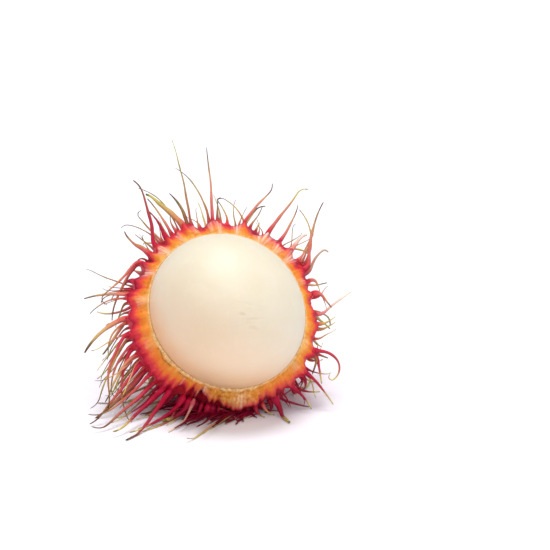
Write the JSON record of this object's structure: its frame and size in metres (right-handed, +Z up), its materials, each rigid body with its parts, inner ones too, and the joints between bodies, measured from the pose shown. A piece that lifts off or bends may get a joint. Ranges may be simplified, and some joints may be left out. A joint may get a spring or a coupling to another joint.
{
  "type": "half-peeled rambutan",
  "caption": "Half-peeled fruit lying on a small flat spot: a ball of pale flesh in a half shell of leathery rind with long, soft, curling spines.",
  "frame": {"origin": "middle of the small flat spot on the rind that the fruit rests on", "axes": "+Z up; the opening faces -Y, tilted up by 24 degrees and turned towards +X by 5 degrees"},
  "size_m": [0.0558, 0.0524, 0.0525],
  "materials": {
    "rind": "satin, leathery skin, red with yellow-green spine tips",
    "flesh": "smooth, moist and translucent"
  },
  "bodies": {
    "root": {"rind": "rind", "aril": "flesh"}
  },
  "joints": []
}
